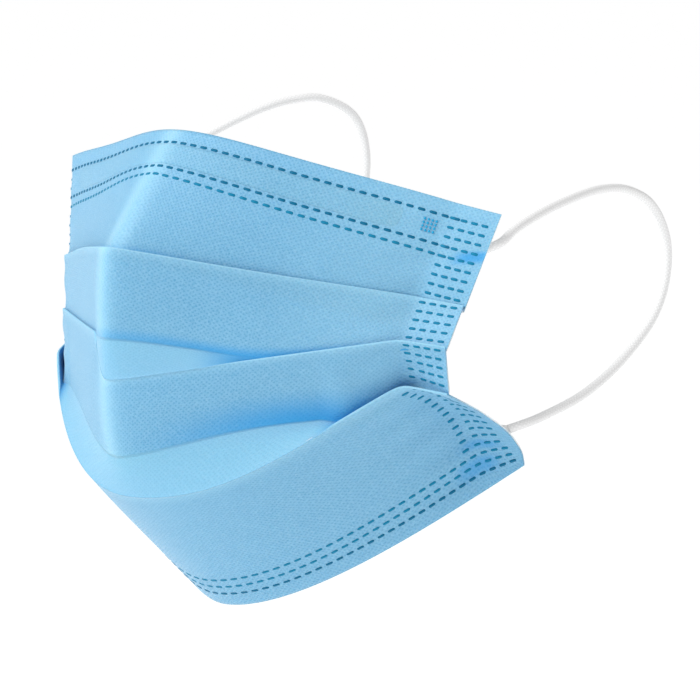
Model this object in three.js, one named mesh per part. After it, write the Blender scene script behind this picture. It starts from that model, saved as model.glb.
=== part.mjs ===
// A pleated three-ply surgical face mask, in the form it takes when it is worn.
// Millimetres. +Z is up, the front of the mask looks along -Y, and +X is the wearer's left.
// The origin is the middle of the opening at the back, where the face sits.

import * as THREE from "three";
import { mergeVertices } from "three/addons/utils/BufferGeometryUtils.js";

// The sheet
const WALL = 1.2; // three plies of nonwoven cloth
const LIP = 1.2; // a pleat's folded edge, two layers pressed together
const POCKET = 0.6; // the gap that a closed pleat keeps behind its folded edge
const SEAM_WIDTH = 12.3; // the welded zone along each side
const SEAM_TURN = { right: 17, left: 60 }; // degrees between that zone and the X axis, seen from above
const NOTCH = 1; // how far a pocket reaches below its folded edge where the side is welded
const OPEN_OVER = 5; // a pleat pulled this far past flat counts as open
const SHARPEST = 0.6; // the least cosine that an outer fold is mitred for on its back
const GAP = 0.45; // between two pieces that lie on each other

// The channel of the bendable nose strip, a raised band between the upper rows of welds
const CHANNEL = { fromTop: 4.2, width: 6, thickness: 1.1, bevel: 0.8, reach: 0.78, columns: 22 };

// The cord ends, pressed flat and welded behind the four corners. down is their place on the
// corner's panel, 0 at its upper line and 1 at its lower line.
const CORD_END = { width: 4, thickness: 1, start: 0.888, columns: 4 };
const CORNERS = {
  upper_right: { sign: 1, down: 0.37 },
  upper_left: { sign: -1, down: 0.42 },
  lower_right: { sign: 1, down: 0.4 },
  lower_left: { sign: -1, down: 0.45 },
};

// The lines that run across the sheet, from the top edge to the bottom edge. A pleat has an inner
// fold, which closes the pocket, and an outer fold, the edge that shows. midY and midZ place the
// line at the middle of the mask. bend is how round it turns there, seen from above, and drop how
// round, seen from the front. seamX, y and z place it where the welded zone of a side starts, sag
// lifts it halfway to there, and rise is how far it climbs across the welded zone. jump is how far
// it climbs right beside the middle. The belly is where the lowest panel turns downwards.
const LINES = {
  topEdge: {
    midY: -34.4, midZ: 50.8, bend: 0.3, drop: 0.35,
    right: { seamX: 66.3, y: -3.6, z: 34.7, sag: -0.6, rise: -2.3 },
    left: { seamX: 69.0, y: -8.8, z: 38.5, sag: -1.2, rise: -1.4 },
  },
  inner1: {
    midY: -54.0, midZ: 20.6, bend: 0.24, drop: 0.16,
    right: { seamX: 58.8, y: -12.1, z: 3.3, sag: 0, rise: 0 },
    left: { seamX: 61.8, y: -15.7, z: 5.4, sag: 1.6, rise: 0 },
  },
  outer1: {
    midY: -59.8, midZ: 22.8, bend: 0.05, drop: 0.05,
    right: { seamX: 59.2, y: -9.7, z: 11.1, sag: -0.3, rise: -1.4 },
    left: { seamX: 61.8, y: -18.3, z: 13.4, sag: 0.7, rise: -0.8 },
  },
  inner2: {
    midY: -60.5, midZ: 0.3, bend: 0.05, drop: 0.41,
    right: { seamX: 58.6, y: -14.2, z: -0.4, sag: -3.7, rise: 0 },
    left: { seamX: 61.6, y: -18.0, z: -5.5, sag: 0, rise: 0 },
  },
  outer2: {
    midY: -59.5, midZ: -10.1, bend: 0.07, drop: 0.05,
    right: { seamX: 61.2, y: -18.2, z: 1.2, sag: 0.1, rise: -1.0 },
    left: { seamX: 60.0, y: -20.6, z: -0.1, sag: 0, rise: -0.8, jump: 11.0 },
  },
  inner3: {
    midY: -56.8, midZ: -29.5, bend: 0.18, drop: 0.05,
    right: { seamX: 58.5, y: -12.7, z: -17.7, sag: 2.8, rise: 0 },
    left: { seamX: 62.2, y: -18.6, z: -16.3, sag: 3.6, rise: 0 },
  },
  outer3: {
    midY: -53.3, midZ: -40.0, bend: 1.08, drop: 0.87,
    right: { seamX: 59.3, y: -15.4, z: -10.5, sag: -2.0, rise: -1.5 },
    left: { seamX: 60.4, y: -22.1, z: -11.2, sag: 0.6, rise: 2.3 },
  },
  belly: {
    midY: -43.6, midZ: -47.1, bend: 1.2, drop: 1.2,
    right: { seamX: 60.6, y: -2.5, z: -14.1, sag: -1.0, rise: -4.3 },
    left: { seamX: 62.0, y: -18.5, z: -18.0, sag: 1.6, rise: 2.0 },
  },
  bottomEdge: {
    midY: -19.6, midZ: -71.1, bend: 0.21, drop: 0.57,
    right: { seamX: 61.6, y: 9.8, z: -39.6, sag: 0, rise: 8.0 },
    left: { seamX: 63.3, y: -10.1, z: -32.9, sag: 4.5, rise: 7.9 },
  },
};
const JUMP = { from: 0.02, to: 0.2 }; // where a jump starts and ends, as shares of the way to the seam
const SEAM_START = 0.86; // share of half the width where the welded zone starts
const COLUMNS = 26; // steps across half of the sheet, up to the welded zone
const SEAM_COLUMNS = 5;

// The ear loops: round elastic cord, the right one about 180 mm long and the left one about 215 mm.
// Their routes are chosen by hand.
const CORD_DIAMETER = 2.3;
const CORD_SIDES = 8;
const CORD_STEPS = 40;
const RIGHT_LOOP = [
  [75.6, 2.2, 25.0], [74.0, 8.8, 27.6], [71.4, 20.5, 30.6], [69.0, 33.1, 33.0], [66.0, 49.1, 34.7],
  [64.0, 61.6, 33.6], [62.4, 72.6, 28.8], [61.4, 79.2, 19.5], [61.0, 79.6, 10.0], [61.8, 74.5, 0.8],
  [63.7, 60.5, -9.4], [66.3, 43.5, -16.6], [69.8, 24.0, -20.5], [72.8, 12.9, -21.4],
];
const LEFT_LOOP = [
  [-71.8, 5.5, 28.4], [-70.6, 15.0, 31.0], [-68.6, 27.0, 35.8], [-66.0, 38.4, 41.8], [-62.5, 44.9, 45.4],
  [-59.0, 51.9, 48.5], [-56.0, 59.5, 50.4], [-53.0, 67.1, 50.6], [-50.0, 77.0, 45.4], [-48.6, 80.3, 34.5],
  [-49.8, 77.0, 16.0], [-53.5, 69.0, 3.0], [-58.0, 57.0, -8.0], [-62.6, 42.0, -15.6], [-66.3, 24.0, -19.2],
  [-68.8, 8.5, -20.4],
];

// A curve from 0 to 1 that starts level and turns within about the given share of its length.
function turning(t, roundness) {
  return (Math.hypot(t, roundness) - roundness) / (Math.hypot(1, roundness) - roundness);
}

// How far across the welded zone of its side a place lies: 0 at its start, 1 at the cut edge.
const pastSeam = (u) => Math.max(Math.abs(u) - SEAM_START, 0) / (1 - SEAM_START);

// The point of a line at share u of half the width: -1 is the left edge, 1 the right edge.
function linePoint(line, u) {
  const side = u < 0 ? line.left : line.right;
  const sign = u < 0 ? -1 : 1;
  const t = Math.min(Math.abs(u) / SEAM_START, 1);
  const point = new THREE.Vector3(
    sign * side.seamX * t,
    THREE.MathUtils.lerp(line.midY, side.y, turning(t, line.bend)),
    THREE.MathUtils.lerp(line.midZ, side.z, turning(t, line.drop)),
  );
  point.z += side.sag * Math.sin(Math.PI * t) ** 2;
  point.z += (side.jump ?? 0) * THREE.MathUtils.smoothstep(t, JUMP.from, JUMP.to) * (1 - t);
  const past = pastSeam(u);
  const turn = THREE.MathUtils.degToRad(u < 0 ? SEAM_TURN.left : SEAM_TURN.right);
  point.x += sign * past * SEAM_WIDTH * Math.cos(turn);
  point.y += past * SEAM_WIDTH * Math.sin(turn);
  point.z += past * side.rise;
  return point;
}

// The direction straight through the sheet, towards the face, between two of its lines.
function inward(upper, lower, u) {
  const step = 0.01;
  const from = Math.max(u - step, -1);
  const to = Math.min(u + step, 1);
  const across = linePoint(upper, to).sub(linePoint(upper, from));
  const down = linePoint(lower, u).sub(linePoint(upper, u));
  return across.cross(down).normalize();
}

const shift = (point, direction, length) => point.clone().addScaledVector(direction, length);

// How far behind its lip a closed pleat's inner fold lies: far enough for the panel above, which runs
// straight to that fold, to pass behind the lip. top and fold are seen from the folded edge.
function foldDepth(top, fold, back) {
  const topDepth = top.dot(back);
  const topRise = Math.sqrt(top.lengthSq() - topDepth ** 2);
  const overlap = Math.max(-fold.z, 0);
  const share = overlap / (topRise + overlap);
  return Math.max(LIP + POCKET, (LIP + POCKET - topDepth * share) / (1 - share));
}

// One pleat cut across at u: the four points that its outside passes, from the panel above to the
// panel below, and the two points behind it. Closed, it is a lip over a narrow pocket, and its inner
// fold lies behind them. Open, that fold lies above the outer fold and the strip between shows.
function pleatSection(above, inner, outer, below, u) {
  const edge = linePoint(outer, u);
  const back = inward(outer, below, u);
  const weldedFold = shift(edge, back, LIP + POCKET).add(new THREE.Vector3(0, 0, -NOTCH));
  const drawn = linePoint(inner, u).lerp(weldedFold, pastSeam(u));
  const open = THREE.MathUtils.smoothstep(drawn.z - edge.z, 0, OPEN_OVER);
  const fromEdge = drawn.clone().sub(edge);
  const depth = foldDepth(linePoint(above, u).sub(edge), fromEdge, back);
  const fold = shift(drawn, back, (depth - fromEdge.dot(back)) * (1 - open));
  const up = new THREE.Vector3(0, 0, 1);
  const floorWay = back.clone().negate().lerp(up.clone().negate(), open).normalize();
  const lipWay = back.clone().lerp(up, open).normalize();
  const foldWay = back.clone().lerp(inward(above, inner, u), open).normalize();
  const behindFold = shift(fold, foldWay, WALL);
  const belowFold = behindFold.clone().add(new THREE.Vector3(0, 0, -WALL));
  const mitre = back.clone().add(inward(inner, outer, u)).normalize();
  const behindEdge = shift(edge, mitre, WALL / Math.max(mitre.dot(back), SHARPEST));
  return {
    front: [fold, shift(fold, floorWay, POCKET), shift(edge, lipWay, LIP), edge],
    rear: [behindFold, belowFold.lerp(behindEdge, open)],
  };
}

// The closed outline of the sheet cut across at u, front side down and rear side up.
function sheetSection(u) {
  const { topEdge, inner1, outer1, inner2, outer2, inner3, outer3, belly, bottomEdge } = LINES;
  const pleats = [
    pleatSection(topEdge, inner1, outer1, inner2, u),
    pleatSection(outer1, inner2, outer2, inner3, u),
    pleatSection(outer2, inner3, outer3, belly, u),
  ];
  const top = linePoint(topEdge, u);
  const turn = linePoint(belly, u);
  const bottom = linePoint(bottomEdge, u);
  const front = [top, ...pleats.flatMap((pleat) => pleat.front), turn, bottom];
  const rear = [
    shift(top, inward(topEdge, inner1, u), WALL),
    ...pleats.flatMap((pleat) => pleat.rear),
    shift(turn, inward(outer3, bottomEdge, u), WALL),
    shift(bottom, inward(belly, bottomEdge, u), WALL),
  ];
  return [...front, ...rear.reverse()];
}

// Joins closed outlines with the same number of points into one closed body.
function loft(sections) {
  const count = sections[0].length;
  const positions = sections.flat().flatMap((point) => point.toArray());
  const index = [];
  for (let s = 0; s + 1 < sections.length; s++) {
    for (let i = 0; i < count; i++) {
      const a = s * count + i;
      const b = s * count + ((i + 1) % count);
      index.push(a, b, a + count, b, b + count, a + count);
    }
  }
  const ends = [sections[0], sections[sections.length - 1]];
  ends.forEach((section, end) => {
    const first = end ? (sections.length - 1) * count : 0;
    for (const [a, b, c] of endFaces(section)) {
      index.push(first + a, first + (end ? b : c), first + (end ? c : b));
    }
  });
  const geometry = new THREE.BufferGeometry();
  geometry.setAttribute("position", new THREE.Float32BufferAttribute(positions, 3));
  geometry.setIndex(index);
  return mergeVertices(geometry, 1e-4);
}

// Triangles over the flat end of a body, worked out in the plane that the end nearly lies in.
function endFaces(section) {
  const flat = section.map((point) => new THREE.Vector2(point.y, point.z));
  return THREE.ShapeUtils.triangulateShape(flat, []);
}

// The places across the sheet where it is cut: closer together at the bend in the middle.
function columns() {
  const half = [];
  for (let i = 1; i <= COLUMNS; i++) {
    half.push(SEAM_START * (i / COLUMNS) ** 1.3);
  }
  for (let i = 1; i <= SEAM_COLUMNS; i++) {
    half.push(SEAM_START + (1 - SEAM_START) * (i / SEAM_COLUMNS));
  }
  return [...half.map((u) => -u).reverse(), 0, ...half];
}

// The nose strip's channel cut across at u: a low band with bevelled edges on the front of the
// top panel.
function channelSection(u) {
  const { topEdge, inner1, outer1, inner2 } = LINES;
  const top = linePoint(topEdge, u);
  const fold = pleatSection(topEdge, inner1, outer1, inner2, u).front[0];
  const down = fold.sub(top).normalize();
  const out = inward(topEdge, inner1, u).negate();
  const { fromTop, width, thickness, bevel } = CHANNEL;
  const at = (below, lift) => shift(shift(top, down, fromTop + below), out, GAP + lift);
  return [
    at(0, 0), at(0, thickness / 3), at(bevel, thickness),
    at(width - bevel, thickness), at(width, thickness / 3), at(width, 0),
  ];
}

function channelColumns() {
  const steps = 2 * CHANNEL.columns;
  return Array.from({ length: steps + 1 }, (_, i) => {
    const share = i / CHANNEL.columns - 1;
    return CHANNEL.reach * Math.sign(share) * Math.abs(share) ** 1.2;
  });
}

// The back of the cloth at a corner: its upper and lower point, and the way towards the face.
function cornerBack(name, u) {
  const { topEdge, inner1, outer1, inner2, belly, bottomEdge } = LINES;
  if (name.startsWith("upper")) {
    const way = inward(topEdge, inner1, u);
    const pleat = pleatSection(topEdge, inner1, outer1, inner2, u);
    return { upper: shift(linePoint(topEdge, u), way, WALL), lower: pleat.rear[0], way };
  }
  const way = inward(belly, bottomEdge, u);
  const upper = shift(linePoint(belly, u), way, WALL);
  return { upper, lower: shift(linePoint(bottomEdge, u), way, WALL), way };
}

// A flattened cord end cut across at u.
function cordEndSection(name, u) {
  const { upper, lower, way } = cornerBack(name, u);
  const middle = upper.clone().lerp(lower, CORNERS[name].down);
  const down = lower.clone().sub(upper).normalize();
  const at = (below, lift) => shift(shift(middle, down, below), way, GAP + lift);
  const half = CORD_END.width / 2;
  return [at(-half, 0), at(half, 0), at(half, CORD_END.thickness), at(-half, CORD_END.thickness)];
}

function cordEnd(name) {
  const { sign } = CORNERS[name];
  const places = Array.from({ length: CORD_END.columns + 1 }, (_, i) =>
    sign * THREE.MathUtils.lerp(CORD_END.start, 1, i / CORD_END.columns));
  const sections = places.map((u) => cordEndSection(name, u));
  return loft(sign < 0 ? sections.reverse() : sections);
}

// Where the round cord meets its flattened end: beside the middle of the end's slanted outer face.
function cordStart(name) {
  const [a, , c] = cordEndSection(name, CORNERS[name].sign);
  const [d, , f] = cordEndSection(name, CORNERS[name].sign * 0.98);
  const face = a.lerp(c, 0.5);
  const along = face.clone().sub(d.lerp(f, 0.5)).normalize();
  return { point: shift(face, along, 2 * GAP), along };
}

function earLoop(side, route) {
  const upper = cordStart("upper_" + side);
  const lower = cordStart("lower_" + side);
  const path = new THREE.CatmullRomCurve3([
    upper.point,
    shift(upper.point, upper.along, CORD_DIAMETER / 2),
    ...route.map((point) => new THREE.Vector3(...point)),
    shift(lower.point, lower.along, CORD_DIAMETER / 2),
    lower.point,
  ]);
  const outline = new THREE.Shape();
  for (let i = 0; i < CORD_SIDES; i++) {
    const angle = (2 * Math.PI * i) / CORD_SIDES;
    const move = i ? "lineTo" : "moveTo";
    outline[move](Math.cos(angle) * CORD_DIAMETER / 2, Math.sin(angle) * CORD_DIAMETER / 2);
  }
  const tube = new THREE.ExtrudeGeometry(outline, { steps: 2 * CORD_STEPS, extrudePath: path });
  tube.deleteAttribute("normal");
  tube.deleteAttribute("uv");
  return mergeVertices(tube, 1e-4);
}

const cloth = new THREE.MeshStandardMaterial({ color: 0x8fcdf3, roughness: 0.85 });
const elastic = new THREE.MeshStandardMaterial({ color: 0xf2f2f0, roughness: 0.8 });

function piece(name, geometry, material) {
  const mesh = new THREE.Mesh(geometry, material);
  mesh.name = name;
  return mesh;
}

const mask = new THREE.Group();
mask.add(piece("pleated_body", loft(columns().map(sheetSection)), cloth));
mask.add(piece("nose_strip_channel", loft(channelColumns().map(channelSection)), cloth));
for (const name of Object.keys(CORNERS)) {
  mask.add(piece("cord_end_" + name, cordEnd(name), elastic));
}
mask.add(piece("ear_loop_right", earLoop("right", RIGHT_LOOP), elastic));
mask.add(piece("ear_loop_left", earLoop("left", LEFT_LOOP), elastic));

export default mask;
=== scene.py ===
"""A pleated surgical face mask in its worn form: embossed cloth, weld marks, nose strip channel and
elastic ear loops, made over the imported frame."""

import math
from collections import namedtuple

import bmesh
import bpy
import numpy as np
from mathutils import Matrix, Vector


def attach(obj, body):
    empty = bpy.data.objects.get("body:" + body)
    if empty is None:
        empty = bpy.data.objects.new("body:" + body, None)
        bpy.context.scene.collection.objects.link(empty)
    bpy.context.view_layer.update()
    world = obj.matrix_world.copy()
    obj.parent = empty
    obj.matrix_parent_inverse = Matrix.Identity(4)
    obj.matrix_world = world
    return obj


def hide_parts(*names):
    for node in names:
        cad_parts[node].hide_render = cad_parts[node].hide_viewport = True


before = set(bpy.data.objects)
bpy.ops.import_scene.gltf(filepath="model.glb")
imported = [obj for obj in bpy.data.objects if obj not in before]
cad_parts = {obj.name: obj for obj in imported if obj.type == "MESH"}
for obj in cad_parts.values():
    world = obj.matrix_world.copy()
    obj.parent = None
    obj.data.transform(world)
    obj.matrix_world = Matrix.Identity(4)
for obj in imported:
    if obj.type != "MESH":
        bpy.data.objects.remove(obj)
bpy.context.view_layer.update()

# Sizes are in millimetres until a mesh is made
MM = 0.001

# The camera stands where the photographer stood, far away with a long lens. Its distance, target and
# reach are in metres.
CAMERA_AZIMUTH = 45.0
CAMERA_ELEVATION = 6.7
CAMERA_DISTANCE = 1.5
CAMERA_TARGET = Vector((0.0224, 0.0031, -0.0060))
CAMERA_LENS = 304.5
CAMERA_SENSOR = 36.0
CAMERA_REACH = 200.0

# The lines that run across the sheet, from the top edge to the bottom edge. A pleat has an inner
# fold and an outer fold, the edge that shows. bend and drop are how round a line turns at the
# middle, seen from above and from the front. Each side gives the place where its welded zone starts.
# sag lifts a line halfway to there, rise is its climb across the welded zone, and jump its climb right
# beside the middle. The belly is where the lowest panel turns downwards.
Side = namedtuple("Side", "seam_x y z sag rise jump")
Line = namedtuple("Line", "mid_y mid_z bend drop right left")
LINES = {
    "top_edge": Line(-34.4, 50.8, 0.3, 0.35,
                     Side(66.3, -3.6, 34.7, -0.6, -2.3, 0),
                     Side(69.0, -8.8, 38.5, -1.2, -1.4, 0)),
    "inner1": Line(-54.0, 20.6, 0.24, 0.16,
                   Side(58.8, -12.1, 3.3, 0, 0, 0),
                   Side(61.8, -15.7, 5.4, 1.6, 0, 0)),
    "outer1": Line(-59.8, 22.8, 0.05, 0.05,
                   Side(59.2, -9.7, 11.1, -0.3, -1.4, 0),
                   Side(61.8, -18.3, 13.4, 0.7, -0.8, 0)),
    "inner2": Line(-60.5, 0.3, 0.05, 0.41,
                   Side(58.6, -14.2, -0.4, -3.7, 0, 0),
                   Side(61.6, -18.0, -5.5, 0, 0, 0)),
    "outer2": Line(-59.5, -10.1, 0.07, 0.05,
                   Side(61.2, -18.2, 1.2, 0.1, -1.0, 0),
                   Side(60.0, -20.6, -0.1, 0, -0.8, 11.0)),
    "inner3": Line(-56.8, -29.5, 0.18, 0.05,
                   Side(58.5, -12.7, -17.7, 2.8, 0, 0),
                   Side(62.2, -18.6, -16.3, 3.6, 0, 0)),
    "outer3": Line(-53.3, -40.0, 1.08, 0.87,
                   Side(59.3, -15.4, -10.5, -2.0, -1.5, 0),
                   Side(60.4, -22.1, -11.2, 0.6, 2.3, 0)),
    "belly": Line(-43.6, -47.1, 1.2, 1.2,
                  Side(60.6, -2.5, -14.1, -1.0, -4.3, 0),
                  Side(62.0, -18.5, -18.0, 1.6, 2.0, 0)),
    "bottom_edge": Line(-19.6, -71.1, 0.21, 0.57,
                        Side(61.6, 9.8, -39.6, 0, 8.0, 0),
                        Side(63.3, -10.1, -32.9, 4.5, 7.9, 0)),
}

# A share u runs from -1 at the left cut edge, over 0 at the middle, to 1 at the right one. From the
# seam's start outwards the side is welded. Seen from above, the welded zone turns back by the given
# degrees, over a soft crease. A jump starts and ends at shares of the way to the seam, and the belly
# lies at a share of the lowest panel's height.
SEAM_START = 0.86
SEAM_WIDTH = 12.3
SEAM_TURN_RIGHT = 17
SEAM_TURN_LEFT = 60
SEAM_CREASE = 0.010
JUMP_FROM = 0.02
JUMP_TO = 0.2
BELLY_AT = 0.3
FLAT_WIDTH = 175.0

# The cloth, three thin plies. A lip is the folded edge of a pleat and a pocket the room behind it.
# Both are thinner where they are pressed, and a lip is thinnest where its pleat is open. A welded
# pocket ends a notch below its edge. A pleat that is pulled OPEN_OVER past flat is fully open.
WALL = 0.5
LIP = 0.75
LIP_PRESSED = 0.5
LIP_OPEN = 0.12
POCKET = 0.25
POCKET_PRESSED = 0.08
PRESS_EASE = 0.03
NOTCH = 1.0
OPEN_OVER = 5.0

# How finely the sheet is divided: its columns, the rows of a strip inside a pleat and of the round
# over a lip, and the rows and rounds that smooth the valley of an open pleat
COLUMNS = 301
STRIP_ROWS = 12
ARC_ROWS = 6
VALLEY_REACH = 8
VALLEY_ROUNDS = 26

# The back of a pleat is rounded by two shares of the wall, backwards and downwards. A panel's back
# starts at most at this share of its height.
FOLD_BACK = 0.6
FOLD_DOWN = 0.8
BACK_START_MOST = 0.6

# Puckers beside the seams: where they are strongest, how far they reach, their pitch down a panel,
# their shift from one panel to the next and their slant
PUCKER_AT = 0.80
PUCKER_REACH = 0.07
PUCKER_PITCH = 8.5
PUCKER_SHIFT = 0.31
PUCKER_SLANT = 2.2
PUCKER_EDGE = 0.12

# One row per panel, from the top: its upper and lower line, its rows of faces on the front and on
# the back, how far it swells outwards at its middle, how strongly it puckers, the share of its height
# above the next fold that is painted shade, a deeper blue, the places u where that starts and is full,
# and how much painted highlight makes it paler towards its right side. The lowest panel has no fold
# below it, so its painted shade starts past the edge.
Panel = namedtuple("Panel", "upper lower rows back_rows swell pucker shade shade_from pale")
PANELS = (
    Panel("top_edge", "inner1", 48, 24, 0.4, 0.16, 0.10, (-0.9, 0.3), 0.30),
    Panel("outer1", "inner2", 26, 14, 0.5, 0.20, 0.16, (-0.5, 0.6), 0.32),
    Panel("outer2", "inner3", 26, 14, 0.6, 0.24, 0.55, (0.0, 0.6), 0.12),
    Panel("outer3", "bottom_edge", 54, 26, 1.2, 0.30, 0.01, (1.0, 2.0), 0.10),
)
LOWEST = len(PANELS) - 1

# Painted highlight, which makes the cloth paler, on the crease down the middle of the mask, on the
# ridge of a pleat, on its closed lip and in its open valley, and painted shade, a deeper blue, in the
# open valley, which a closed pleat's pocket gets in full. The painted highlight on the right side
# rises between the two places of the side, and the painted shade above a fold ends between the two
# places SHADE_END.
CREASE_AT = -0.03
CREASE_REACH = 0.05
CREASE_HIGHLIGHT = 0.7
RIDGE_HIGHLIGHT = 0.35
RIDGE_REACH = 0.1
LIP_HIGHLIGHT = 0.8
VALLEY_HIGHLIGHT = 0.5
VALLEY_SHADE = 0.12
HIGHLIGHT_SIDE = (0.35, 0.8)
SHADE_END = (0.72, 0.86)

# The cloth's pattern runs down each panel in millimetres. Each panel starts a step further than the
# one above, and its pleat takes the places before it: a strip, a round, and two rows on the back.
PATTERN_STEP = 60.0
PATTERN_STRIP = (-14, -2)
PATTERN_ROUND = (-1, 0.2)
PATTERN_BACK = (-2, -1)

# Places where a welded cord end shows through as a deeper blue: the panel, the middle as share u
# and share s down the panel, the half sizes of both, and the strength
Tint = namedtuple("Tint", "panel u s half_u half_s strength")
TINTS = (
    Tint(0, 0.965, 0.445, 0.055, 0.055, 0.9),
    Tint(3, 0.885, 0.715, 0.055, 0.030, 0.6),
    Tint(3, 0.865, 0.850, 0.060, 0.055, 0.6),
)


def mix(a, b, share):
    """The value between a and b at a share of the way."""
    return a + (b - a) * share


def column(values):
    """The same numbers with one more axis, to weigh points with."""
    return np.asarray(values, float)[..., None]


def unit(vectors):
    """Vectors brought to length one."""
    return vectors / np.linalg.norm(vectors, axis=-1, keepdims=True)


def smooth_step(value, low, high):
    """0 below low and 1 above high, with a smooth rise of cubic form between them."""
    share = np.clip((value - low) / (high - low), 0, 1)
    return share * share * (3 - 2 * share)


def turning(t, roundness):
    """A hyperbola from 0 to 1 that starts level and turns within about the given share of t."""
    return (np.hypot(t, roundness) - roundness) / (np.hypot(1, roundness) - roundness)


def past_seam(u):
    """The distance past the start of the welded zone, as a share of half the width, which rises
    from 0 through a soft crease."""
    over = np.abs(u) - SEAM_START
    return SEAM_CREASE * np.logaddexp(0, over / SEAM_CREASE)


def line_point(name, u):
    """Points of a line at shares u of half the sheet's width. The line eases from its middle to the
    seam along two hyperbolas and a squared sine, and runs straight on across the welded zone."""
    line = LINES[name]
    u = np.asarray(u, float)
    seam_x, seam_y, seam_z, sag, rise, jump = (
        np.where(u < 0, left, right) for left, right in zip(line.left, line.right)
    )
    over = past_seam(u)
    t = (np.abs(u) - over) / SEAM_START
    past = over / (1 - SEAM_START)
    turn = np.radians(np.where(u < 0, SEAM_TURN_LEFT, SEAM_TURN_RIGHT))
    x = np.sign(u) * (seam_x * t + past * SEAM_WIDTH * np.cos(turn))
    y = mix(line.mid_y, seam_y, turning(t, line.bend)) + past * SEAM_WIDTH * np.sin(turn)
    z = mix(line.mid_z, seam_z, turning(t, line.drop)) + sag * np.sin(np.pi * t) ** 2 + past * rise
    z = z + jump * smooth_step(t, JUMP_FROM, JUMP_TO) * (1 - t)
    return np.stack([x, y, z], -1)


def inward(upper, lower, u):
    """The direction straight through the sheet, towards the face: across the line times down."""
    step = 0.01
    across = line_point(upper, np.minimum(u + step, 1)) - line_point(upper, np.maximum(u - step, -1))
    down = line_point(lower, u) - line_point(upper, u)
    return unit(np.cross(across, down))


def pressed(u):
    """How far the layers are pressed together at u: 1 in the welded zone."""
    return smooth_step(np.abs(u), SEAM_START - PRESS_EASE, SEAM_START + PRESS_EASE)


def fold_depth(index, edge, fold, back, room, u):
    """How far behind its edge a closed fold lies: far enough for the panel above, which runs straight
    to the fold, to pass behind the lip."""
    top = line_point(PANELS[index - 1].upper, u) - edge
    top_depth = np.sum(top * back, -1)
    top_rise = np.sqrt(np.maximum(np.sum(top * top, -1) - top_depth ** 2, 1))
    overlap = np.maximum(edge[..., 2] - fold[..., 2], 0)
    share = overlap / (top_rise + overlap)
    return np.maximum(room, (room - top_depth * share) / (1 - share))


def pleat(index, u):
    """A pleat at u: its edge, the fold behind it, the way back from it, and how far it is open. A
    closed fold lies right behind the edge's lip, and an open one lies above the edge."""
    below = PANELS[index]
    inner = below.upper.replace("outer", "inner")
    edge = line_point(below.upper, u)
    back = inward(below.upper, "belly" if index == LOWEST else below.lower, u)
    lip = mix(LIP, LIP_PRESSED, pressed(u))
    pocket = mix(POCKET, POCKET_PRESSED, pressed(u))
    past = np.clip(past_seam(u) / (1 - SEAM_START), 0, 1)
    welded = edge + back * column(lip + pocket) - np.array([0, 0, NOTCH])
    fold = mix(line_point(inner, u), welded, column(past))
    opened = smooth_step(fold[..., 2] - edge[..., 2], 0, OPEN_OVER)
    depth = fold_depth(index, edge, fold, back, lip + pocket, u)
    reach = np.sum((fold - edge) * back, -1)
    fold = fold + back * column((depth - reach) * (1 - opened))
    return edge, fold, back, opened, mix(lip, LIP_OPEN, opened), pocket


def swell(index, u, s):
    """How far a panel stands out at u and s: a low dome between its lines, and puckers, a sine wave
    down the panel that fades with a bell curve away from the seam."""
    panel = PANELS[index]
    window = smooth_step(s, 0, PUCKER_EDGE) * smooth_step(1 - s, 0, PUCKER_EDGE)
    dome = panel.swell * 4 * s * (1 - s) * (1 - np.minimum(np.abs(u) / SEAM_START, 1) ** 2)
    near_seam = np.exp(-(((np.abs(u) - PUCKER_AT) / PUCKER_REACH) ** 2))
    height = np.linalg.norm(line_point(panel.lower, u) - line_point(panel.upper, u), axis=-1)
    turns = s * height / PUCKER_PITCH + PUCKER_SHIFT * index + PUCKER_SLANT * u
    return dome + window * near_seam * panel.pucker * np.sin(2 * np.pi * turns)


def panel_point(index, u, s):
    """Places on a panel: straight from its upper line at s = 0 to its lower line at s = 1, or on the
    lowest panel along the parabola that passes the belly, moved out by its swell."""
    panel = PANELS[index]
    upper = line_point(panel.upper, u)
    if index < LOWEST:
        lower = pleat(index + 1, u)[1]
        bend = 0
    else:
        lower = line_point(panel.lower, u)
        bend = (line_point("belly", u) - mix(upper, lower, BELLY_AT)) / (BELLY_AT * (1 - BELLY_AT))
    out = -inward(panel.upper, panel.lower, u)
    return mix(upper, lower, column(s)) + bend * column(s * (1 - s)) + out * column(swell(index, u, s))


def panel_height(index, u):
    """The length of a panel down from its upper to its lower line at u, over two chords."""
    places = [panel_point(index, u, share + 0 * u) for share in (0, BELLY_AT, 1)]
    return sum(np.linalg.norm(b - a, axis=-1) for a, b in zip(places, places[1:]))


def panel_inward(index, u, s):
    """The direction straight through a panel at u and s, towards the face: a small step across it
    times a small step down it."""
    step = 0.006
    right = panel_point(index, np.minimum(u + step, 1), s)
    left = panel_point(index, np.maximum(u - step, -1), s)
    down = panel_point(index, u, s + step) - panel_point(index, u, s - step)
    return unit(np.cross(right - left, down))


def tinted(index, u, s):
    """How deep the blue is at u and s on a panel over the cord ends: bumps of the form
    exp(-(x^4 + y^4)), with x and y the distances over the half sizes."""
    deep = 0 * u
    for tint in TINTS:
        if tint.panel == index:
            x, y = (u - tint.u) / tint.half_u, (s - tint.s) / tint.half_s
            deep = deep + tint.strength * np.exp(-(x ** 4) - y ** 4)
    return deep


def pale(index, u):
    """The painted highlight on a panel at u, which makes it paler: a bell curve over the crease down
    the middle of the mask, which the lowest panel lacks, and a smooth rise towards the right side."""
    crease = np.exp(-(((u - CREASE_AT) / CREASE_REACH) ** 2)) * (index < LOWEST)
    return CREASE_HIGHLIGHT * crease + PANELS[index].pale * smooth_step(u, *HIGHLIGHT_SIDE)


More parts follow.
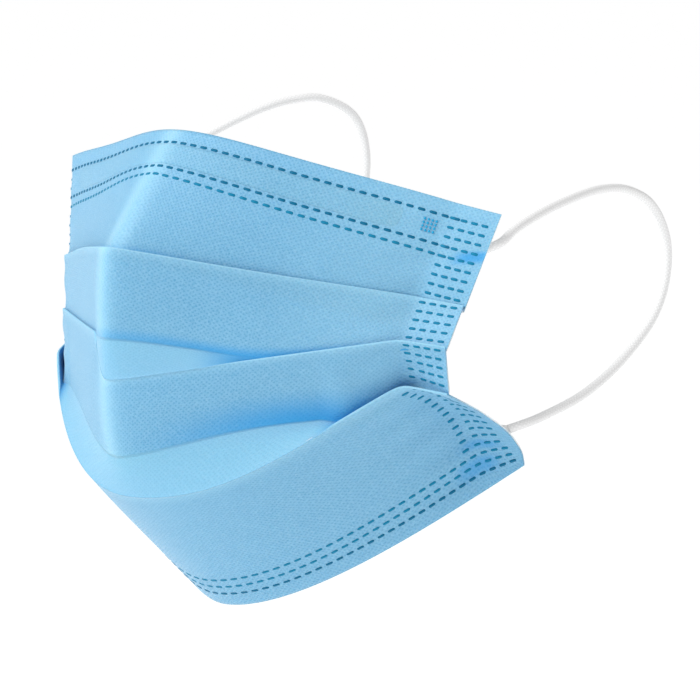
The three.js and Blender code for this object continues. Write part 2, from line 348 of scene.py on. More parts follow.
def smooth_valley(points, centre, opened):
    """Rounds the valley of an open pleat: near its fold each row moves towards the middle of its
    neighbours, again and again, as far as the pleat is open."""
    low, high = centre - VALLEY_REACH, centre + VALLEY_REACH
    weight = 0.5 * opened[:, None]
    for _ in range(VALLEY_ROUNDS):
        middle = 0.5 * (points[low - 1:high - 1] + points[low + 1:high + 1])
        points[low:high] = mix(points[low:high], middle, weight)


# Rows across the sheet: their points, their places in the pattern, and how deep blue (painted
# shade, and the cord ends), how pale (painted highlight) and how white they are
Rows = namedtuple("Rows", "points down deep pale white")


def add_row(rows, *values):
    """One more row, with a value for each part of it."""
    for part, value in zip(rows, values):
        part.append(value)


def add_pleat_front(rows, index, u):
    """Adds the front of a pleat: the strip from the floor of its pocket up to the crest of its lip,
    and half a circle over the lip. Returns how far the pleat is open."""
    panel = PANELS[index]
    edge, fold, back, opened, lip, pocket = pleat(index, u)
    up = np.broadcast_to([0.0, 0.0, 1.0], edge.shape)
    floor = fold + unit(mix(-back, -up, column(opened))) * column(pocket)
    crest = edge + unit(mix(back, up, column(opened))) * column(lip)
    along = unit(line_point(panel.upper, u) - line_point(panel.lower, u))
    over = unit(mix(along, -back, column(opened)))
    start = PATTERN_STEP * index + 0 * u
    # The strip is painted shade, a deeper blue, in full inside a closed pocket and faintly in an open
    # valley, where it also gets a painted highlight
    for step in range(STRIP_ROWS + 1):
        share = step / STRIP_ROWS
        add_row(rows, mix(floor, crest, share), start + mix(*PATTERN_STRIP, share),
                mix(1.0, VALLEY_SHADE, opened), VALLEY_HIGHLIGHT * opened, 0 * u)
    centre = mix(edge, crest, 0.5)
    # The round over a closed lip gets a painted highlight
    for step in range(1, ARC_ROWS):
        angle = np.pi * step / ARC_ROWS
        spread = (crest - centre) * np.cos(angle)
        add_row(rows, centre + spread + over * column(0.5 * lip * np.sin(angle)),
                start + PATTERN_ROUND[0] + PATTERN_ROUND[1] * step,
                0 * u, LIP_HIGHLIGHT * (1 - opened), 0 * u)
    return opened


def add_panel_front(rows, index, u):
    """Adds the front of a panel: painted shade, a deeper blue, above the next fold, a deeper blue over
    the cord ends, and painted highlight, a paler colour, on its crease, its ridge and its right side."""
    panel = PANELS[index]
    height = panel_height(index, u)
    inner_half = 1 - smooth_step(np.abs(u), *SHADE_END)
    for s in np.linspace(0, 1, panel.rows + 1):
        # Painted shade above the next fold, and a painted highlight on the ridge just below a pleat's
        # lip
        near_fold = smooth_step(s, 1 - panel.shade, 1) * inner_half
        ridge = RIDGE_HIGHLIGHT * (1 - smooth_step(s, 0, RIDGE_REACH)) * (index > 0)
        add_row(rows, panel_point(index, u, s + 0 * u), PATTERN_STEP * index + s * height,
                near_fold * smooth_step(u, *panel.shade_from) + tinted(index, u, s),
                pale(index, u) + ridge, 0 * u)


def add_pleat_back(rows, index, u):
    """Adds the back of a pleat: two rows that round its fold."""
    _, fold, back, _, _, _ = pleat(index, u)
    down = np.array([0, 0, -FOLD_DOWN * WALL])
    start = PATTERN_STEP * index + 0 * u
    add_row(rows, fold + back * WALL, start + PATTERN_BACK[0], 0 * u, 0 * u, 1 + 0 * u)
    add_row(rows, fold + back * (FOLD_BACK * WALL) + down, start + PATTERN_BACK[1],
            0 * u, 0 * u, 1 + 0 * u)


def add_panel_back(rows, index, u):
    """Adds the back of a panel, a wall behind its front. It starts below a closed pleat's overlap
    and stops short of the next pleat's fold."""
    panel = PANELS[index]
    height = panel_height(index, u)
    start = 0 * u
    if index:
        edge, fold, _, opened, _, _ = pleat(index, u)
        overlap = np.maximum(edge[:, 2] - fold[:, 2], 0) + WALL
        start = np.clip(overlap / height, 0, BACK_START_MOST) * (1 - opened)
    shares = np.linspace(0, 1, panel.back_rows + 1)
    for share in shares if index == LOWEST else shares[:-1]:
        s = mix(start, 1, share)
        points = panel_point(index, u, s) + panel_inward(index, u, s) * WALL
        add_row(rows, points, PATTERN_STEP * index + s * height, 0 * u, 0 * u, 1 + 0 * u)


def sheet_rows(u):
    """The sheet's closed outline as rows over the columns u: the front from the top edge down
    through each panel and pleat, and the back up again."""
    front, rear, valleys = Rows([], [], [], [], []), Rows([], [], [], [], []), []
    for index in range(len(PANELS)):
        if index:
            valleys.append((len(front.points), add_pleat_front(front, index, u)))
            add_pleat_back(rear, index, u)
        add_panel_front(front, index, u)
        add_panel_back(rear, index, u)
    front = Rows(*map(np.array, front))
    for centre, opened in valleys:
        smooth_valley(front.points, centre, opened)
    return Rows(*(np.concatenate([a, np.array(b)[::-1]]) for a, b in zip(front, rear)))


def new_mesh(name, points, faces, material):
    """A smooth mesh object from points in millimetres and faces, with one material."""
    mesh = bpy.data.meshes.new(name)
    mesh.from_pydata((np.asarray(points) * MM).tolist(), [], faces)
    mesh.materials.append(material)
    mesh.polygons.foreach_set("use_smooth", [True] * len(mesh.polygons))
    mesh.update()
    piece = bpy.data.objects.new(name, mesh)
    bpy.context.scene.collection.objects.link(piece)
    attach(piece, "root")
    return piece


def add_uv(piece, across, down):
    """A UV map from two numbers for each point, in millimetres."""
    mesh = piece.data
    corners = np.empty(len(mesh.loops), int)
    mesh.loops.foreach_get("vertex_index", corners)
    layer = mesh.uv_layers.new(name="cloth")
    layer.data.foreach_set("uv", np.stack([across[corners], down[corners]], -1).ravel())


def add_tone(piece, values):
    """A colour attribute named tone with one value for each point."""
    layer = piece.data.color_attributes.new("tone", "FLOAT_COLOR", "POINT")
    colours = np.concatenate([values, np.ones((len(values), 1))], -1)
    layer.data.foreach_set("color", colours.ravel())


def ring_faces(rings, count):
    """Faces between closed rings that have count points each."""
    first = np.arange(rings - 1)[:, None] * count + np.arange(count)
    nexts = np.arange(rings - 1)[:, None] * count + (np.arange(count) + 1) % count
    return np.stack([first, nexts, nexts + count, first + count], -1).reshape(-1, 4).tolist()


def end_faces(rings, count):
    """The two faces that close the first and the last of some rings with count points each."""
    return [list(range(count))[::-1], list(range(count * (rings - 1), count * rings))]


def lengths_along(path):
    """The length of a path up to each of its points."""
    return np.concatenate([[0], np.cumsum(np.linalg.norm(np.diff(path, axis=0), axis=-1))])


def add_nodes(material):
    """The node tree's helpers for a new material: its nodes, links and shader."""
    material.use_nodes = True
    tree = material.node_tree
    return tree.nodes, tree.links, tree.nodes["Principled BSDF"]


def add_relief(nodes, links, shader, height, strength, distance):
    """Fine relief on a shader from a height value, with its depth in metres."""
    bump = nodes.new("ShaderNodeBump")
    bump.inputs["Strength"].default_value = strength
    bump.inputs["Distance"].default_value = distance
    links.new(height, bump.inputs["Height"])
    links.new(bump.outputs["Normal"], shader.inputs["Normal"])


def add_shades(nodes, links, shader, dark, bright, factor):
    """A base colour between a dark and a bright one, by a factor."""
    shades = nodes.new("ShaderNodeMix")
    shades.data_type = "RGBA"
    shades.inputs["A"].default_value = (*dark, 1)
    shades.inputs["B"].default_value = (*bright, 1)
    links.new(factor, shades.inputs["Factor"])
    links.new(shades.outputs["Result"], shader.inputs["Base Color"])


def cloth_material():
    """Spunbond cloth: a diagonal lattice of small bond points pressed into fine fibres, a deeper blue
    in the pockets and above the folds, partly where layers overlap and partly painted shade, a deeper
    blue over the cord ends, paler with painted highlight, and white on the side of the face."""
    material = bpy.data.materials.new("blue_nonwoven")
    nodes, links, shader = add_nodes(material)
    place = nodes.new("ShaderNodeUVMap")
    place.uv_map = "cloth"

    # One bond point in each cell of a turned lattice, 1 mm by 0.8 mm
    lattice = nodes.new("ShaderNodeMapping")
    lattice.inputs["Rotation"].default_value = (0, 0, math.radians(38))
    lattice.inputs["Scale"].default_value = (1 / 1.0, 1 / 0.8, 1)
    links.new(place.outputs["UV"], lattice.inputs["Vector"])
    cells = nodes.new("ShaderNodeTexVoronoi")
    cells.voronoi_dimensions = "2D"
    cells.inputs["Scale"].default_value = 1.0
    cells.inputs["Randomness"].default_value = 0.3
    links.new(lattice.outputs["Vector"], cells.inputs["Vector"])
    points = nodes.new("ShaderNodeMapRange")
    points.interpolation_type = "SMOOTHSTEP"
    points.inputs["From Min"].default_value = 0.10
    points.inputs["From Max"].default_value = 0.42
    points.inputs["To Min"].default_value = 1.0
    points.inputs["To Max"].default_value = 0.0
    links.new(cells.outputs["Distance"], points.inputs["Value"])

    # Fibres, and slow clouds over several millimetres
    fibres = nodes.new("ShaderNodeTexNoise")
    fibres.noise_dimensions = "2D"
    fibres.inputs["Scale"].default_value = 1.7
    fibres.inputs["Detail"].default_value = 6.0
    fibres.inputs["Roughness"].default_value = 0.65
    fibres.inputs["Distortion"].default_value = 1.2
    links.new(place.outputs["UV"], fibres.inputs["Vector"])
    clouds = nodes.new("ShaderNodeTexNoise")
    clouds.noise_dimensions = "2D"
    clouds.inputs["Scale"].default_value = 0.16
    clouds.inputs["Detail"].default_value = 3.0
    links.new(place.outputs["UV"], clouds.inputs["Vector"])

    # The sheet's own values: red is deeper blue, painted shade and the cord ends, green is white and
    # blue is painted highlight
    tone = nodes.new("ShaderNodeVertexColor")
    tone.layer_name = "tone"
    parts = nodes.new("ShaderNodeSeparateColor")
    links.new(tone.outputs["Color"], parts.inputs["Color"])

    def blend(first, second, factor, amount):
        """A colour between two, by a factor times an amount."""
        node = nodes.new("ShaderNodeMix")
        node.data_type = "RGBA"
        weight = nodes.new("ShaderNodeMath")
        weight.operation = "MULTIPLY"
        weight.inputs[1].default_value = amount
        links.new(factor, weight.inputs[0])
        links.new(weight.outputs[0], node.inputs["Factor"])
        for socket, value in ((node.inputs["A"], first), (node.inputs["B"], second)):
            if isinstance(value, tuple):
                socket.default_value = value
            else:
                links.new(value, socket)
        return node.outputs["Result"]

    # In turn: fibres, clouds, bond points, painted highlight, deeper blue for painted shade and the
    # cord ends, and the white inside
    colour = blend((0.31, 0.56, 0.73, 1), (0.01, 0.225, 0.44, 1), fibres.outputs["Fac"], 1.0)
    colour = blend(colour, (0.22, 0.48, 0.68, 1), clouds.outputs["Fac"], 0.35)
    colour = blend(colour, (0.05, 0.25, 0.44, 1), points.outputs["Result"], 0.45)
    colour = blend(colour, (0.32, 0.60, 0.76, 1), parts.outputs["Blue"], 0.8)
    colour = blend(colour, (0.002, 0.28, 0.64, 1), parts.outputs["Red"], 0.85)
    colour = blend(colour, (0.80, 0.86, 0.90, 1), parts.outputs["Green"], 1.0)
    links.new(colour, shader.inputs["Base Color"])

    height = nodes.new("ShaderNodeMath")
    height.operation = "MULTIPLY_ADD"
    height.inputs[1].default_value = -0.8
    links.new(points.outputs["Result"], height.inputs[0])
    links.new(fibres.outputs["Fac"], height.inputs[2])
    add_relief(nodes, links, shader, height.outputs[0], 0.6, 0.0001)

    shader.inputs["Roughness"].default_value = 0.55
    shader.inputs["Specular IOR Level"].default_value = 0.35
    shader.inputs["Sheen Weight"].default_value = 0.25
    shader.inputs["Sheen Roughness"].default_value = 0.4
    shader.inputs["Sheen Tint"].default_value = (0.85, 0.95, 1.0, 1.0)
    shader.inputs["Subsurface Weight"].default_value = 0.15
    shader.inputs["Subsurface Radius"].default_value = (0.25, 0.7, 1.0)
    shader.inputs["Subsurface Scale"].default_value = 0.002
    return material


def weld_material(name, colour, roughness):
    """Cloth pressed smooth: one colour with fine speckle and relief."""
    material = bpy.data.materials.new(name)
    nodes, links, shader = add_nodes(material)
    place = nodes.new("ShaderNodeTexCoord")
    speckle = nodes.new("ShaderNodeTexNoise")
    speckle.inputs["Scale"].default_value = 1800.0
    speckle.inputs["Detail"].default_value = 3.0
    links.new(place.outputs["Object"], speckle.inputs["Vector"])
    dark = [0.8 * part for part in colour]
    bright = [1.25 * part for part in colour]
    add_shades(nodes, links, shader, dark, bright, speckle.outputs["Fac"])
    add_relief(nodes, links, shader, speckle.outputs["Fac"], 0.3, 0.00005)
    shader.inputs["Roughness"].default_value = roughness
    shader.inputs["Specular IOR Level"].default_value = 0.15
    return material


def elastic_material():
    """Knitted round elastic: two sets of fine ribs that wind around the cord in opposite ways."""
    material = bpy.data.materials.new("white_elastic")
    nodes, links, shader = add_nodes(material)
    place = nodes.new("ShaderNodeUVMap")
    place.uv_map = "cloth"
    ribs = []
    for turn in (1, -1):
        wave = nodes.new("ShaderNodeTexWave")
        wave.wave_type = "BANDS"
        wave.bands_direction = "DIAGONAL"
        wave.inputs["Scale"].default_value = 0.55
        way = nodes.new("ShaderNodeMapping")
        way.inputs["Scale"].default_value = (1, turn, 1)
        links.new(place.outputs["UV"], way.inputs["Vector"])
        links.new(way.outputs["Vector"], wave.inputs["Vector"])
        ribs.append(wave.outputs["Fac"])
    knit = nodes.new("ShaderNodeMath")
    knit.operation = "MULTIPLY"
    links.new(ribs[0], knit.inputs[0])
    links.new(ribs[1], knit.inputs[1])
    add_shades(nodes, links, shader, (0.62, 0.62, 0.62), (0.75, 0.75, 0.75), knit.outputs[0])
    add_relief(nodes, links, shader, knit.outputs[0], 0.4, 0.0001)
    shader.inputs["Roughness"].default_value = 0.8
    shader.inputs["Sheen Weight"].default_value = 0.2
    # A faint glow that is painted light: it makes the elastic look whiter on its shaded side
    shader.inputs["Emission Color"].default_value = (1, 1, 1, 1)
    shader.inputs["Emission Strength"].default_value = 0.17
    return material


CLOTH = cloth_material()
DEEP_WELD = weld_material("deep_pressed_weld", (0.002, 0.13, 0.25), 0.5)
WELD = weld_material("pressed_weld", (0.004, 0.19, 0.34), 0.5)
SPOT = weld_material("spot_weld", (0.02, 0.34, 0.60), 0.4)
ELASTIC = elastic_material()

# The marks that a weld roller presses: their pitch and size, how far their tops stand out of the
# cloth and their feet lie in it, the size of the top as a share of the foot, and the corners of the
# outline as shares of the length and width
MARK_PITCH = 3.07
MARK_LENGTH = 2.15
MARK_WIDTH = 0.78
MARK_LIFT = 0.07
MARK_FOOT = -0.12
MARK_TOP = 0.86
MARK_CORNERS = np.array([
    (0.5, 0.2), (0.36, 0.5), (-0.36, 0.5), (-0.5, 0.2),
    (-0.5, -0.2), (-0.36, -0.5), (0.36, -0.5), (0.5, -0.2),
])

# A row of marks along a panel, at a distance below the panel's upper line or, where negative, above
# its lower line, from one share u to another. Its length is measured over many short chords.
Row = namedtuple("Row", "panel distance start end depth")
WELD_ROWS = (
    Row(0, 3.9, -0.895, 0.89, "deep"),
    Row(0, 11.25, -0.895, 0.89, "deep"),
    Row(0, 13.7, -0.895, 0.89, "light"),
    Row(3, -4.0, -0.985, 0.985, "deep"),
    Row(3, -6.45, -0.985, 0.985, "light"),
    Row(3, -8.9, -0.985, 0.985, "light"),
)
ROW_CHORDS = 899

# The marks of the side seams, one row for each panel: how far from the cut edge the columns lie, the
# first mark and the pitch down the panel, or up from the bottom edge where negative, and how far the
# last mark keeps from the panel's end
Seam = namedtuple("Seam", "columns first pitch margin")
SEAMS = (
    Seam((3.0, 5.9, 8.8, 11.7), 3.9, 2.45, 0.6),
    Seam((2.2, 5.1, 8.0, 10.9), 1.0, 2.43, 0.6),
    Seam((2.2, 5.1, 8.0, 10.9), 1.0, 2.43, 0.6),
    Seam((5.6, 8.5, 11.4, 14.3), -11.35, -2.45, 1.0),
)
SEAM_MARKS_MOST = 60


def share_down(index, u, distance):
    """The share s of a panel at a distance from its upper line or, if negative, its lower line."""
    height = panel_height(index, u)
    return np.where(distance < 0, 1 + distance / height, distance / height)


def surface_frames(index, u, distance):
    """Places on a panel with the directions across it, down it and out of it, by small steps."""
    step, step_down = 0.002, 0.01
    s = share_down(index, u, distance)
    here = panel_point(index, u, s)
    right = panel_point(index, np.minimum(u + step, 1), share_down(index, u + step, distance))
    left = panel_point(index, np.maximum(u - step, -1), share_down(index, u - step, distance))
    below = panel_point(index, u, s + step_down)
    above = panel_point(index, u, s - step_down)
    across = unit(right - left)
    out = unit(np.cross(below - above, across))
    return here, across, unit(np.cross(across, out)), out


def row_places(row):
    """Shares u at equal distances along a row, from its length summed over short chords."""
    u = np.linspace(row.start, row.end, ROW_CHORDS + 1)
    length = lengths_along(surface_frames(row.panel, u, np.full_like(u, row.distance))[0])
    return np.interp(np.arange(MARK_PITCH / 2, length[-1], MARK_PITCH), length, u)


def seam_places(index, sign):
    """Places of the side seam's marks on one panel, as shares u and distances down or up it. A panel
    with a pleat below it ends at that pleat's edge."""
    seam = SEAMS[index]
    u, d = np.meshgrid(sign * (1 - np.array(seam.columns) / SEAM_WIDTH * (1 - SEAM_START)),
                       seam.first + seam.pitch * np.arange(SEAM_MARKS_MOST))
    u, d = u.ravel(), d.ravel()
    if index < LOWEST:
        reach = line_point(PANELS[index + 1].upper, u) - line_point(PANELS[index].upper, u)
        height = np.linalg.norm(reach, axis=-1)
    else:
        height = panel_height(index, u)
    keep = np.abs(d) < height - seam.margin
    return u[keep], d[keep]


def mark_faces(corners, count):
    """Faces of some flat marks: for each its top, its underside and its sides."""
    top = list(range(corners))
    bottom = list(range(2 * corners - 1, corners - 1, -1))
    sides = [[i + corners, (i + 1) % corners + corners, (i + 1) % corners, i] for i in range(corners)]
    faces = [top, bottom, *sides]
    return [[i + mark * 2 * corners for i in face] for mark in range(count) for face in faces]


def marks(name, frames, length, width, lift, material):
    """Flat rounded marks on the cloth: an oval outline with straight long sides, and the same a
    little larger and lower for its foot."""
    here, across, down, out = frames
    x, y = MARK_CORNERS.T * [[length], [width]]
    rings = []
    for grow, rise in ((MARK_TOP, lift), (1.0, MARK_FOOT)):
        rings.append(
            here[:, None]
            + across[:, None] * (grow * x)[None, :, None]
            + down[:, None] * (grow * y)[None, :, None]
            + out[:, None] * rise
        )
    points = np.concatenate(rings, 1).reshape(-1, 3)
    piece = new_mesh(name, points, mark_faces(len(MARK_CORNERS), len(here)), material)
    return piece


def stack(frames):
    """Several sets of frames as one."""
    return [np.concatenate(part) for part in zip(*frames)]


def cloth_piece(name, points, u, down, tone):
    """A closed piece of cloth from rows of points over the columns u, with each row's place in the
    pattern and its values of deeper blue (painted shade, and the cord ends), white and painted
    highlight."""
    count = len(points)
    ends = [face[::-1] for face in end_faces(len(u), count)]
    faces = ring_faces(len(u), count) + ends
    piece = new_mesh(name, points.transpose(1, 0, 2).reshape(-1, 3), faces, CLOTH)
    add_uv(piece, np.repeat(u * FLAT_WIDTH / 2, count), down.T.ravel())
    add_tone(piece, np.stack([part.T.ravel() for part in tone], -1))
    return piece


def pleated_sheet():
    """The folded sheet, with flat shading on its two cut edges."""
    u = np.linspace(-1, 1, COLUMNS)
    rows = sheet_rows(u)
    piece = cloth_piece("pleated_sheet", rows.points, u, rows.down, (rows.deep, rows.white, rows.pale))
    count = len(piece.data.polygons)
    piece.data.polygons.foreach_set("use_smooth", [True] * (count - 2) + [False] * 2)
    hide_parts("pleated_body")
    return piece


# The channel of the nose strip: where it lies on the top panel, how far it stands out and reaches
# sideways, how soft its ends are, and how far its edges and its underside lie in the cloth
CHANNEL_TOP = 4.3
CHANNEL_WIDTH = 6.2
CHANNEL_LIFT = 0.35
CHANNEL_REACH = 0.78
CHANNEL_FADE = 0.3
CHANNEL_EDGE = 0.04
CHANNEL_UNDER = 0.2
CHANNEL_COLUMNS = 181
CHANNEL_ROWS = 17


def channel():
    """A band over the top panel. Its height is a flat-topped bump, sqrt(1 - x^4), that falls to
    nothing at its edges and fades towards its ends, and its underside lies just inside the cloth."""
    u = np.linspace(-CHANNEL_REACH, CHANNEL_REACH, CHANNEL_COLUMNS)
    share = np.linspace(0, 1, CHANNEL_ROWS)
    bump = np.sqrt(np.clip(1 - (2 * share - 1) ** 4, 0, 1))
    fade = smooth_step(1 - np.abs(u) / CHANNEL_REACH, 0, CHANNEL_FADE)
    upper, under, down = [], [], []
    for place, height in zip(share, bump):
        distance = CHANNEL_TOP + CHANNEL_WIDTH * place + 0 * u
        here, _, _, out = surface_frames(0, u, distance)
        upper.append(here + out * column(CHANNEL_LIFT * height * fade - CHANNEL_EDGE))
        under.append(here - out * CHANNEL_UNDER)
        down.append(distance)
    points = np.array(upper + under[::-1])
    down = np.array(down + down[::-1])
    # The channel takes the top panel's painted highlight
    tone = (0 * down, 0 * down, pale(0, u) + 0 * down)
    piece = cloth_piece("nose_channel", points, u, down, tone)
    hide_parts("nose_strip_channel")
    return piece


def weld_rows():
    """The marks of all rows and side seams, as the pieces of the deep and of the light ones."""
    deep, light = [], []
    for row in WELD_ROWS:
        u = row_places(row)
        frames = surface_frames(row.panel, u, np.full_like(u, row.distance))
        (deep if row.depth == "deep" else light).append(frames)
    for index in range(len(PANELS)):
        for sign in (-1, 1):
            light.append(surface_frames(index, *seam_places(index, sign)))
    return (
        marks("deep_weld_marks", stack(deep), MARK_LENGTH, MARK_WIDTH, MARK_LIFT, DEEP_WELD),
        marks("weld_marks", stack(light), MARK_LENGTH, MARK_WIDTH, MARK_LIFT, WELD),
    )


# The small square of spot welds that tacks the nose strip down: its middle as share u and distance
# below the top edge, its pitch, its spots along a side, and their size and height
SPOT_MIDDLE = (0.810, 7.3)
SPOT_PITCH = 0.95
SPOT_SIDE = 4
SPOT_SIZE = 0.6
SPOT_LIFT = MARK_LIFT + CHANNEL_LIFT * 0.5


def spot_welds():
    """A square grid of small round marks on the top panel around its middle."""
    steps = (np.arange(SPOT_SIDE) - (SPOT_SIDE - 1) / 2) * SPOT_PITCH
    across, down = np.meshgrid(steps, steps)
    u = SPOT_MIDDLE[0] + across.ravel() / (FLAT_WIDTH / 2)
    frames = surface_frames(0, u, SPOT_MIDDLE[1] + down.ravel())
    return marks("spot_welds", frames, SPOT_SIZE, SPOT_SIZE, SPOT_LIFT, SPOT)


# The ear loops: each row is a point of the cord's route
CORD_DIAMETER = 2.3
CORD_AROUND = 18
LOOP_STEPS = 260
ROUTES = {
    "right": [
        (75.6, 2.2, 25.0), (74.0, 8.8, 27.6), (71.4, 20.5, 30.6), (69.0, 33.1, 33.0),
        (66.0, 49.1, 34.7), (64.0, 61.6, 33.6), (62.4, 72.6, 28.8), (61.4, 79.2, 19.5),
        (61.0, 79.6, 10.0), (61.8, 74.5, 0.8), (63.7, 60.5, -9.4), (66.3, 43.5, -16.6),
        (69.8, 24.0, -20.5), (72.8, 12.9, -21.4),
    ],
    "left": [
        (-71.8, 5.5, 28.4), (-70.6, 15.0, 31.0), (-68.6, 27.0, 35.8), (-66.0, 38.4, 41.8),
        (-62.5, 44.9, 45.4), (-59.0, 51.9, 48.5), (-56.0, 59.5, 50.4), (-53.0, 67.1, 50.6),
        (-50.0, 77.0, 45.4), (-48.6, 80.3, 34.5), (-49.8, 77.0, 16.0), (-53.5, 69.0, 3.0),
        (-58.0, 57.0, -8.0), (-62.6, 42.0, -15.6), (-66.3, 24.0, -19.2), (-68.8, 8.5, -20.4),
    ],
}

# The cord's ends, pressed flat behind the cloth, from one share u to another. The round cord then
# starts a little further out, clear of the cloth, and each flat end reaches into it. A corner's down
# is the end's place on the corner's panel.
CORD_END_START = 0.888
CORD_END_STOP = 0.962
CORD_END_WIDTH = 4.0
CORD_END_THICKNESS = 0.9
CORD_END_STATIONS = 14
ROUNDING_STATIONS = 6
CORD_OUT = 1.6
CORD_CLEARANCE = 0.3
CORD_OVERLAP = 0.4
Corner = namedtuple("Corner", "panel sign down")
CORNERS = {
    "upper_right": Corner(0, 1, 0.37),
    "upper_left": Corner(0, -1, 0.42),
    "lower_right": Corner(3, 1, 0.58),
    "lower_left": Corner(3, -1, 0.61),
}


def corner_frames(name, u):
    """The middle of a flat cord end behind the cloth at u, with the ways across the end and inwards,
    square to each other."""
    corner = CORNERS[name]
    step = 0.02
    s = corner.down + 0 * u
    way = panel_inward(corner.panel, u, s)
    below = panel_point(corner.panel, u, s + step) - panel_point(corner.panel, u, s - step)
    middle = panel_point(corner.panel, u, s) + way * (WALL + CORD_END_THICKNESS / 2)
    return middle, unit(below - way * column(np.sum(below * way, -1))), way


def cord_start(name):
    """Where the round cord meets its flat end, just clear of the cloth, and the way it leaves."""
    step = 0.02
    stations = CORNERS[name].sign * np.array([CORD_END_STOP - step, CORD_END_STOP])
    middle, _, way = corner_frames(name, stations)
    along = unit(middle[1] - middle[0])
    inwards = (CORD_DIAMETER - CORD_END_THICKNESS + CORD_CLEARANCE) / 2
    return middle[1] + along * CORD_OUT + way[1] * inwards, along


def cord_piece(name, points, lengths, angle):
    """A closed piece of elastic from rings of points, with its pattern along and around the cord."""
    rings, around = points.shape[:2]
    faces = ring_faces(rings, around) + end_faces(rings, around)
    piece = new_mesh(name, points.reshape(-1, 3), faces, ELASTIC)
    add_uv(piece, np.repeat(lengths, around), np.tile(angle * CORD_DIAMETER / 2, rings))
    return piece


def face_outwards(piece):
    """Points every face of a closed piece outwards."""
    work = bmesh.new()
    work.from_mesh(piece.data)
    bmesh.ops.recalc_face_normals(work, faces=work.faces)
    work.to_mesh(piece.data)
    work.free()


def cord_end(name):
    """A cord end pressed flat: a rounded rectangle, |x|^4 + |y|^4 = 1, carried along the back of the
    cloth, which turns into the cord's circle before the cut edge."""
    u = CORNERS[name].sign * np.linspace(CORD_END_START, CORD_END_STOP, CORD_END_STATIONS)
    middle, across, way = corner_frames(name, u)
    start, along = cord_start(name)
    leave = np.linspace(0, 1, ROUNDING_STATIONS + 1)[1:]
    middle = np.concatenate([middle, mix(middle[-1], start + along * CORD_OVERLAP, column(leave))])
    across = np.concatenate([across, np.repeat(across[-1:], len(leave), 0)])
    way = np.concatenate([way, np.repeat(way[-1:], len(leave), 0)])
    rounding = smooth_step(np.concatenate([0 * u, leave]), 0, 1)
    angle = np.linspace(0, 2 * np.pi, CORD_AROUND, endpoint=False)
    power = column(mix(0.5, 1.0, rounding))
    x = np.sign(np.cos(angle)) * np.abs(np.cos(angle)) ** power
    y = np.sign(np.sin(angle)) * np.abs(np.sin(angle)) ** power
    x = x * column(mix(CORD_END_WIDTH, CORD_DIAMETER, rounding)) / 2
    y = y * column(mix(CORD_END_THICKNESS, CORD_DIAMETER, rounding)) / 2
    points = middle[:, None] + across[:, None] * column(x) + way[:, None] * column(y)
    piece = cord_piece("flat_cord_end_" + name, points, lengths_along(middle), angle)
    face_outwards(piece)
    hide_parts("cord_end_" + name)
    return piece


def loop_points(side):
    """The points that a loop passes: out of its upper end, along its route and into its lower end."""
    upper, lower = cord_start("upper_" + side)[0], cord_start("lower_" + side)[0]
    return np.vstack([upper, ROUTES[side], lower])


def curve_through(points, steps):
    """A smooth curve through points: between two of them, a cubic whose slopes follow the
    neighbours, weighed by the square roots of the distances."""
    points = np.asarray(points, float)
    ends = (2 * points[0] - points[1], 2 * points[-1] - points[-2])
    padded = np.vstack([ends[0], points, ends[1]])
    gaps = np.linalg.norm(np.diff(padded, axis=0), axis=-1) ** 0.5
    knots = np.concatenate([[0], np.cumsum(gaps)])
    t = np.linspace(knots[1], knots[-2], steps + 1)
    i = np.clip(np.searchsorted(knots, t, side="right") - 1, 1, len(points) - 1)

    def between(a, b, low, high):
        """A straight blend of two rows of points over a span of knots."""
        share = (t - knots[low]) / (knots[high] - knots[low])
        return mix(a, b, column(share))

    first = between(padded[i - 1], padded[i], i - 1, i)
    second = between(padded[i], padded[i + 1], i, i + 1)
    third = between(padded[i + 1], padded[i + 2], i + 1, i + 2)
    left = between(first, second, i - 1, i + 1)
    right = between(second, third, i, i + 2)
    return between(left, right, i, i + 1)


def carried_frames(path):
    """Two directions square to a path that don't twist along it: each is the last one with its
    part along the path taken off."""
    tangents = unit(np.gradient(path, axis=0))
    side = unit(np.cross(tangents[0], [0.0, 0.0, 1.0]))
    sides = []
    for tangent in tangents:
        side = unit(side - tangent * np.dot(side, tangent))
        sides.append(side)
    sides = np.array(sides)
    return sides, np.cross(tangents, sides)


def ear_loop(side):
    """A round cord: a circle carried along the loop's route, with flat closed ends."""
    path = curve_through(loop_points(side), LOOP_STEPS)
    sides, ups = carried_frames(path)
    angle = np.linspace(0, 2 * np.pi, CORD_AROUND, endpoint=False)
    ring = sides[:, None] * np.cos(angle)[:, None] + ups[:, None] * np.sin(angle)[:, None]
    lengths = lengths_along(path)
    piece = cord_piece("ear_cord_" + side, path[:, None] + ring * CORD_DIAMETER / 2, lengths, angle)
    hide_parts("ear_loop_" + side)
    return piece


def view_way(azimuth, elevation):
    """The way from the mask to a viewer at an azimuth from its front and an elevation, in degrees:
    (sin a cos e, -cos a cos e, sin e)."""
    a, e = math.radians(azimuth), math.radians(elevation)
    return Vector((math.sin(a) * math.cos(e), -math.cos(a) * math.cos(e), math.sin(e)))


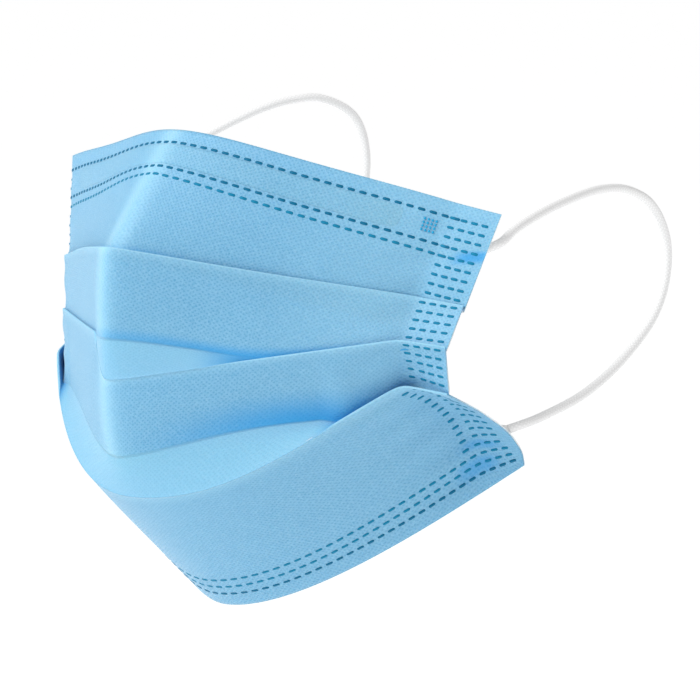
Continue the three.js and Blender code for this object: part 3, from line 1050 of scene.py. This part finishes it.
def area_light(name, azimuth, elevation, distance, size, power):
    """A square soft white light that looks at the middle of the mask."""
    data = bpy.data.lights.new(name, "AREA")
    data.size = size
    data.energy = power
    light = bpy.data.objects.new(name, data)
    way = view_way(azimuth, elevation)
    light.location = way * distance
    light.rotation_euler = way.to_track_quat("Z", "Y").to_euler()
    bpy.context.scene.collection.objects.link(light)


def studio():
    """A white floor far below the mask that glows a little, a white world, and soft lights."""
    half = 30.0
    floor_z = -0.25
    square = ((-half, -half), (half, -half), (half, half), (-half, half))
    mesh = bpy.data.meshes.new("studio_floor")
    mesh.from_pydata([(x, y, floor_z) for x, y in square], [], [(0, 1, 2, 3)])
    floor = bpy.data.objects.new("studio_floor", mesh)
    bpy.context.scene.collection.objects.link(floor)
    paint = bpy.data.materials.new("studio_white")
    _, _, shader = add_nodes(paint)
    shader.inputs["Base Color"].default_value = (0.9, 0.9, 0.9, 1)
    shader.inputs["Roughness"].default_value = 0.9
    shader.inputs["Emission Color"].default_value = (1, 1, 1, 1)
    shader.inputs["Emission Strength"].default_value = 0.5
    mesh.materials.append(paint)
    world = bpy.data.worlds.new("studio_world")
    world.use_nodes = True
    world.node_tree.nodes["Background"].inputs["Color"].default_value = (1, 1, 1, 1)
    world.node_tree.nodes["Background"].inputs["Strength"].default_value = 0.55
    bpy.context.scene.world = world
    area_light("key", azimuth=-20, elevation=45, distance=1.0, size=0.6, power=9.0)
    area_light("fill", azimuth=95, elevation=20, distance=1.2, size=0.8, power=0.5)


def camera():
    """The camera at the photograph's viewing angle."""
    data = bpy.data.cameras.new("camera")
    data.lens = CAMERA_LENS
    data.sensor_width = CAMERA_SENSOR
    data.clip_end = CAMERA_REACH
    eye = bpy.data.objects.new("camera", data)
    back = view_way(CAMERA_AZIMUTH, CAMERA_ELEVATION)
    eye.location = CAMERA_TARGET + back * CAMERA_DISTANCE
    eye.rotation_euler = back.to_track_quat("Z", "Y").to_euler()
    bpy.context.scene.collection.objects.link(eye)
    bpy.context.scene.camera = eye


body = pleated_sheet()
nose_channel = channel()
deep_welds, welds = weld_rows()
spots = spot_welds()
cords = [ear_loop(side) for side in ROUTES]
for corner_name in CORNERS:
    cord_end(corner_name)

studio()
camera()
bpy.context.scene.view_settings.view_transform = "Standard"
bpy.context.scene.view_settings.look = "None"
